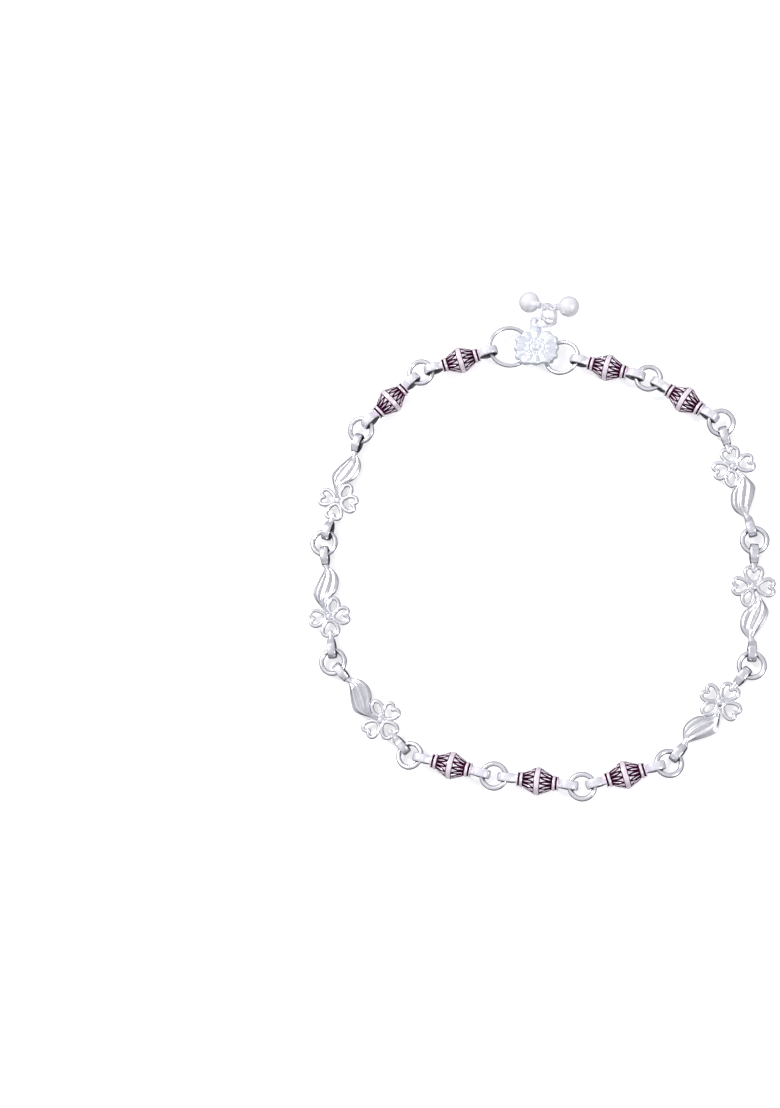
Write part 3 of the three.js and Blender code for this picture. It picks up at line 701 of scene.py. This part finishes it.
beadShape, leafShape = beadParts(), leafLinkParts()
counts = {"bead": 0, "leaf": 0}
for i, kind in enumerate(chain["kinds"]):
    counts[kind] += 1
    number = str(counts[kind]).zfill(2)
    origin, axes = unitFrame(i)
    if kind == "bead":
        parts = placed(beadShape, origin, axes)
        looks = [enamelled, softLook]
        makePiece("enamelBead" + number, parts, looks, "bead_" + number, 55)
    else:
        parts = placed(leafShape, origin, axes)
        makePiece("flowerLeafLink" + number, parts, [polished], "flower_leaf_" + number, 50)
print("beads and flower-and-leaf links made")


# Round wire bent into a ring: middle + radius * (cos, sin) in the ring's plane.
def wireRing(middle, axis, radius, wire, around=112, sides=20):
    a = roundAngles(around)[:, None]
    first = unit(np.cross(axis, [0.3, 1.0, 0.1]))  # any way that isn't the axis will do
    second = np.cross(axis, first)
    path = middle + radius * (np.cos(a) * first + np.sin(a) * second)
    return surface(closedWire(path, axis, roundedProfile(wire, wire, 2, sides)), ringRows=True)


for node, inner, (middle, axis) in zip(ringNodes, ringInners, ringFrames):
    words = node.split("_")
    wire = chain["claspRingWire" if words[0] == "clasp" else "linkRingWire"]
    ring = wireRing(middle, axis, inner + wire / 2, wire)
    makePiece(words[0] + words[1].title() + words[2].title(), [ring], [polished], node)
print("rings made")

clasp = {
    "plateLength": 8.6,
    "plateHeight": 7.0,
    "plateThickness": 0.7,
    "relief": 0.42,
    "scallops": 12,
    "scallopDepth": 0.09,
    "squareness": 3,
    "offset": (-0.14, 0.64),
    "turn": 14,
    # the ornament, all in shares of the relief and of the way from the plate's middle to its edge
    "petals": {"height": 0.75, "start": 0.42, "rise": 0.1, "fall": 0.14},
    "veins": {"height": 0.14, "start": 0.5, "end": 0.95, "fade": 0.1},
    "beads": {"height": 0.8, "place": 0.36, "reach": 0.05, "count": 18},
    "boss": {"height": 1.15, "reach": 0.17, "dimple": 0.5, "dimplePlace": 0.02, "dimpleReach": 0.07},
    "post": 0.5,
    "width": 2.0,
    "base": 0.5,
    "headroom": 0.8,
    "wireGap": 0.28,
    "postGap": 0.375,
    "hookTip": 0.45,
    "hookTipHeight": 0.5,
    "lugPlace": (-0.35, 5.85),
    "lugHole": 0.7,
    "lugRim": 0.45,
    "lugThickness": 0.4,
    "lugBevel": (0.08, 0.07),  # at the rim and at the hole
    "lugRoot": 0.3,  # how near the plate's middle the lug's tail goes, share of the plate's height
    "lugTaper": 0.35,  # below 1 the tail keeps its width for longer
}
plateBottom = clasp["base"] + clasp["wireGap"] + chain["claspRingWire"] + clasp["headroom"]
rightMiddle, leftMiddle = ringFrames[0][0] * [1, 1, 0], ringFrames[-1][0] * [1, 1, 0]
claspWay = unit(rightMiddle - leftMiddle)
claspOrigin = leftMiddle + claspWay * (
    chain["leftRingInner"] + chain["claspRingWire"] / 2 + chain["wireSpan"] / 2
)
plateAxes = turnMatrix(np.arctan2(claspWay[1], claspWay[0]) + np.radians(clasp["turn"]))
stapleAxes = np.array([claspWay, np.cross(up, claspWay), up])


# The plate is a rosette: rings of points shrink from the scalloped edge to the middle, and the height
# is a sum of domed petals, fine veins, a beaded ring and a boss with a dimple.
def rosette():
    v = clasp
    petal, vein, beadRing, boss = v["petals"], v["veins"], v["beads"], v["boss"]
    a = roundAngles(360)
    c, s = np.cos(a), np.sin(a)
    square = (np.abs(c) ** v["squareness"] + np.abs(s) ** v["squareness"]) ** (-1 / v["squareness"])
    wave = 0.5 - 0.5 * np.cos(v["scallops"] * a)
    r = np.concatenate([np.linspace(1, 0.94, 5), np.linspace(0.93, 0.02, 62)])[:, None]
    reach = r * (1 - v["scallopDepth"] * r * wave) * (1 + (square - 1) * r)
    x = v["plateLength"] / 2 * reach * c + v["offset"][0]
    y = v["plateHeight"] / 2 * reach * s + v["offset"][1]
    edge = np.sqrt(np.clip((1 - r) / 0.06, 0, 1))
    lobe = np.cos(v["scallops"] * a / 2) ** 2
    rise = np.clip((r - petal["start"]) / petal["rise"], 0, 1)
    petals = rise * np.clip((1.0 - r) / petal["fall"], 0, 1) ** 0.5 * lobe**0.7
    fade = np.clip((r - vein["start"]) / vein["fade"], 0, 1) * np.clip((vein["end"] - r) / vein["fade"], 0, 1)
    veins = fade * (0.5 + 0.5 * np.cos(v["scallops"] * a * 3))
    circle = np.exp(-((r - beadRing["place"]) / beadRing["reach"]) ** 2)
    beads = circle * (0.55 + 0.45 * np.cos(beadRing["count"] * a))
    dome = boss["height"] * np.exp(-(r / boss["reach"]) ** 4)
    dimple = boss["dimple"] * np.exp(-((r - boss["dimplePlace"]) / boss["dimpleReach"]) ** 2)
    high = petal["height"] * petals + vein["height"] * veins + beadRing["height"] * beads + dome - dimple
    z = plateBottom + v["plateThickness"] * (0.55 + 0.45 * edge) + v["relief"] * high * edge
    top = pointsAt(x, y, z)
    under = top[:1] * [1, 1, 0] + [0, 0, plateBottom]
    return surface(closedEnds(np.concatenate([under, top])))


# A bar with slightly smaller ends, from one place to another. Its section is across y and along rise.
def straightBar(start, end, rise, width, thick):
    size = [0.9, 1, 1, 1, 1, 1, 0.9]
    profile = roundedProfile(width, thick, 6, 28)
    return surface(closedEnds(carried(np.linspace(start, end, 7), sideways, rise, profile, size)))


# A bar of the staples that lies on the ground from x0 to x1.
def lyingBar(x0, x1):
    v = clasp
    return straightBar([x0, 0, v["base"] / 2], [x1, 0, v["base"] / 2], up, v["width"], v["base"])


# A post between x0 and x1 that stands from the ground up to a height.
def standingPost(x0, x1, height):
    middle = (x0 + x1) / 2
    along = np.array([1.0, 0.0, 0.0])
    return straightBar([middle, 0, 0], [middle, 0, height], along, clasp["width"], x1 - x0)


# The lug is a strap with an eye: its outline is a circle whose lower half is drawn out into a tail
# under the plate. Rim and hole are joined above, below and at their bevelled edges.
def lug():
    v = clasp
    outer, place = v["lugHole"] + v["lugRim"], np.array(v["lugPlace"])
    circle = np.stack([np.cos(roundAngles(72)), np.sin(roundAngles(72))], -1)
    tailLength = place[1] - v["offset"][1] - v["plateHeight"] * v["lugRoot"]
    tail = np.stack([np.sign(circle[:, 0]) * np.abs(circle[:, 0]) ** v["lugTaper"] * outer,
                     circle[:, 1] * tailLength], -1)
    rim = np.where(circle[:, 1:] < 0, tail, circle * outer)
    hole = circle * v["lugHole"]
    t, (rimBevel, holeBevel) = v["lugThickness"], v["lugBevel"]
    turns = [(rim, rimBevel), (rim, t - rimBevel), (rim * 0.95, t), (hole * 1.1, t),
             (hole, t - holeBevel), (hole, holeBevel), (hole * 1.1, 0), (rim * 0.95, 0)]
    rows = [pointsAt(*(flat + place).T, plateBottom + z) for flat, z in turns]
    return surface(np.stack(rows), ringRows=True)


# Plate and lug in the plate's axes, the closed staple and the open hook in the chain's.
def claspParts():
    v = clasp
    wire = chain["wireSpan"] / 2
    wall = wire + chain["claspRingWire"] / 2 + chain["linkSlack"]
    outer = wall + bandLoop["thickness"]
    roof = plateBottom + v["plateThickness"] / 2
    hookEnd = wire - chain["claspRingWire"] / 2 - v["postGap"]
    staples = [
        standingPost(-outer, -wall, roof), lyingBar(-outer, v["post"] - hookEnd),
        standingPost(-hookEnd, v["post"] - hookEnd, roof), standingPost(wall, outer, roof),
        lyingBar(hookEnd - v["hookTip"], outer),
        standingPost(hookEnd - v["hookTip"], hookEnd, v["base"] + v["hookTipHeight"]),
    ]
    return placed([rosette(), lug()], claspOrigin, plateAxes) + placed(staples, claspOrigin, stapleAxes)


makePiece("hookPlate", claspParts(), [plateLook], "clasp_plate", 50)

charm = {
    "wire": 0.5,
    "upperRadius": 1.9,
    "lowerRadius": 2.0,
    "lowerTilt": 52,
    "ball": 2.0,
    "neck": 0.5,
    "neckLength": 0.55,
    "neckCurve": 2.4,  # the higher, the sooner the ball draws in
    # the neck's collar: share of the neck's radius, height over the neck's top
    "collar": [(1.35, -0.22), (1.45, -0.1), (1.3, 0.0), (0.7, 0.05)],
    "eyeRadius": 0.8,
    "eyeWire": 0.44,
    # side of the lower ring, place round it from its near side, heading on the ground, both in degrees
    "drops": {"left": (-1, 126, 154), "right": (1, 150, -6)},
}
jumps = {"charm_ring_upper": "upperRadius", "charm_ring_lower": "lowerRadius"}
for node, size in jumps.items():
    ring = wireRing(*ringFrame(node), charm[size], charm["wire"], 96, 16)
    makePiece("jumpRing" + node.split("_")[2].title(), [ring], [softLook], node)


# A pear-shaped ball: a sphere that draws in smoothly to a neck, turned about its axis, with a wire eye.
def dropParts(ballMiddle, axis, eyeAxis):
    v = charm
    low = np.radians(np.linspace(-90, 62, 44))
    ball = np.stack([v["ball"] * np.cos(low), v["ball"] * np.sin(low)], -1)
    start, top = ball[-1], v["ball"] + v["neckLength"]
    t = np.linspace(0, 1, 12)[1:-2]
    neckRadius = v["neck"] + (start[0] - v["neck"]) * (1 - t) ** v["neckCurve"]
    neck = np.stack([neckRadius, start[1] + (top - start[1]) * t], -1)
    outline = np.concatenate([ball, neck, np.array(v["collar"]) * [v["neck"], 1] + [0, top]])
    a = roundAngles(72)[:, None]
    radial = np.cos(a) * eyeAxis + np.sin(a) * np.cross(axis, eyeAxis)
    grid = ballMiddle + outline[:, None, :1] * radial[None] + outline[:, None, 1:] * axis
    eye = ballMiddle + axis * (top + v["eyeRadius"])
    return [surface(closedEnds(grid)), wireRing(eye, eyeAxis, v["eyeRadius"], v["eyeWire"], 64, 14)]


# Each drop's eye sits on the lower ring, and its axis falls from there to the ball, which touches the
# ground: rise = (height of the eye less the ball's radius) / length from eye to ball.
lowerMiddle = (ringFrame("charm_ring_lower")[0] - claspOrigin) @ plateAxes.T
tilt = np.radians(charm["lowerTilt"])
lowerRight = np.array([np.cos(tilt), 0, -np.sin(tilt)])
for word, (side, lean, heading) in charm["drops"].items():
    c, s = np.cos(np.radians(lean)), np.sin(np.radians(lean))
    eye = lowerMiddle - c * charm["lowerRadius"] * sideways + lowerRight * side * s * charm["lowerRadius"]
    reach = charm["ball"] + charm["neckLength"] + charm["eyeRadius"]
    rise = (eye[2] - charm["ball"]) / reach
    level = np.sqrt(1 - rise * rise)
    axis = np.array([-level * np.cos(np.radians(heading)), -level * np.sin(np.radians(heading)), rise])
    wireWay = side * s * sideways + lowerRight * c
    eyeAxis = unit(wireWay - axis * (wireWay @ axis))
    drop = placed(dropParts(eye - axis * reach, axis, eyeAxis), claspOrigin, plateAxes)
    makePiece("ballDrop" + word.title(), drop, [ballLook], "ball_drop_" + word)
print("clasp and drops made")

studio = {
    "lens": 55.7,
    "target": (-27.78, -2.83, 2.0),  # mm, the point at the picture's middle
    "toCamera": (0.1755, -0.2229),  # east and north shares of the way from the target to the camera
    "distance": 325.0,
    "spin": 0.62,  # degrees about the line of sight
    "floor": (0.93, 0.93, 0.93),
    "floorRoughness": 0.8,
    "floorSheen": 0.1,
    "floorGlow": 0.45,  # the pale surface is lit from below too, like a light table
    "floorSize": 6.0,
    "skyPole": (-0.10, 0.34, 0.93),  # the brightest way in the sky: high, and away from the camera's side
    # sky brightness from the way opposite the pole, 0, to the pole, 1
    "sky": [(0.0, (0.20, 0.20, 0.22)), (0.3, (0.18, 0.18, 0.20)), (0.46, (0.32, 0.32, 0.35)),
            (0.62, (0.58, 0.58, 0.61)), (0.8, (0.72, 0.72, 0.75)), (1.0, (0.70, 0.70, 0.74))],
    "skyPatches": 2.2,  # how fine the brighter and dimmer patches of the sky are
    "skyPatchNoise": (0.35, 0.65),  # these values of the noise give the range's two ends
    "skyPatchRange": (0.62, 1.3),
    # name: place in metres, size in metres, power in watts
    "lights": {
        "keyLight": ((-0.50, 0.35, 0.70), 0.16, 4.0),
        "fillLight": ((0.60, -0.30, 0.55), 0.12, 1.5),
    },
}


# A large pale floor, lit and glowing, under the anklet.
def makeFloor():
    v = studio
    bpy.ops.mesh.primitive_plane_add(size=v["floorSize"])
    floor = bpy.context.object
    floor.name = "paleSurface"
    look, nodes, links, shader, place = newLook("paleSurface")
    shader.inputs["Roughness"].default_value = v["floorRoughness"]
    shader.inputs["Specular IOR Level"].default_value = v["floorSheen"]
    shader.inputs["Base Color"].default_value = (*v["floor"], 1)
    shader.inputs["Emission Color"].default_value = (1, 1, 1, 1)
    shader.inputs["Emission Strength"].default_value = v["floorGlow"]
    floor.data.materials.append(look)
    floor.visible_glossy = False  # polished metal mirrors the sky's dim lower half in its place


# The sky's brightness goes by the angle to its pole, times patches: (1 + cosine of the angle) / 2 is
# the place on the ramp.
def makeSky():
    v = studio
    world = bpy.data.worlds.new("softSky")
    bpy.context.scene.world = world
    world.use_nodes = True
    nodes, links = world.node_tree.nodes, world.node_tree.links
    way = nodes.new("ShaderNodeTexCoord").outputs["Generated"]
    toward = nodes.new("ShaderNodeVectorMath")
    toward.operation = "DOT_PRODUCT"
    toward.inputs[1].default_value = v["skyPole"]
    links.new(way, toward.inputs[0])
    share = nodes.new("ShaderNodeMapRange")
    share.inputs["From Min"].default_value = -1.0
    links.new(toward.outputs["Value"], share.inputs["Value"])
    links.new(rampOn(nodes, links, share.outputs["Result"], v["sky"]), nodes["Background"].inputs["Color"])
    patches = nodes.new("ShaderNodeMapRange")
    patches.inputs["From Min"].default_value, patches.inputs["From Max"].default_value = v["skyPatchNoise"]
    patches.inputs["To Min"].default_value, patches.inputs["To Max"].default_value = v["skyPatchRange"]
    links.new(noiseOn(nodes, links, way, v["skyPatches"], 2.0), patches.inputs["Value"])
    links.new(patches.outputs["Result"], nodes["Background"].inputs["Strength"])


# Looking from its place back to the target: place = target + way to the camera * distance.
def makeCamera():
    v = studio
    camera = bpy.data.objects.new("camera", bpy.data.cameras.new("camera"))
    bpy.context.scene.collection.objects.link(camera)
    camera.data.lens = v["lens"]
    camera.data.clip_start = 0.01
    east, north = v["toCamera"]
    toCamera = Vector((east, north, (1 - east**2 - north**2) ** 0.5))
    camera.location = (Vector(v["target"]) + toCamera * v["distance"]) * mm
    camera.rotation_mode = "QUATERNION"
    tilt = Vector((0, 0, 1)).rotation_difference(toCamera)
    camera.rotation_quaternion = tilt @ Quaternion((0, 0, 1), np.radians(v["spin"]))
    bpy.context.scene.camera = camera


# Each lamp faces the anklet's middle, the frame's origin.
def makeLights():
    for name, (place, size, power) in studio["lights"].items():
        lamp = bpy.data.objects.new(name, bpy.data.lights.new(name, "AREA"))
        bpy.context.scene.collection.objects.link(lamp)
        lamp.data.size = size
        lamp.data.energy = power
        lamp.location = place
        lamp.rotation_mode = "QUATERNION"
        lamp.rotation_quaternion = Vector((0, 0, 1)).rotation_difference(Vector(place).normalized())


makeFloor()
makeSky()
makeCamera()
makeLights()
bpy.context.scene.view_settings.view_transform = "Standard"
print("studio made")
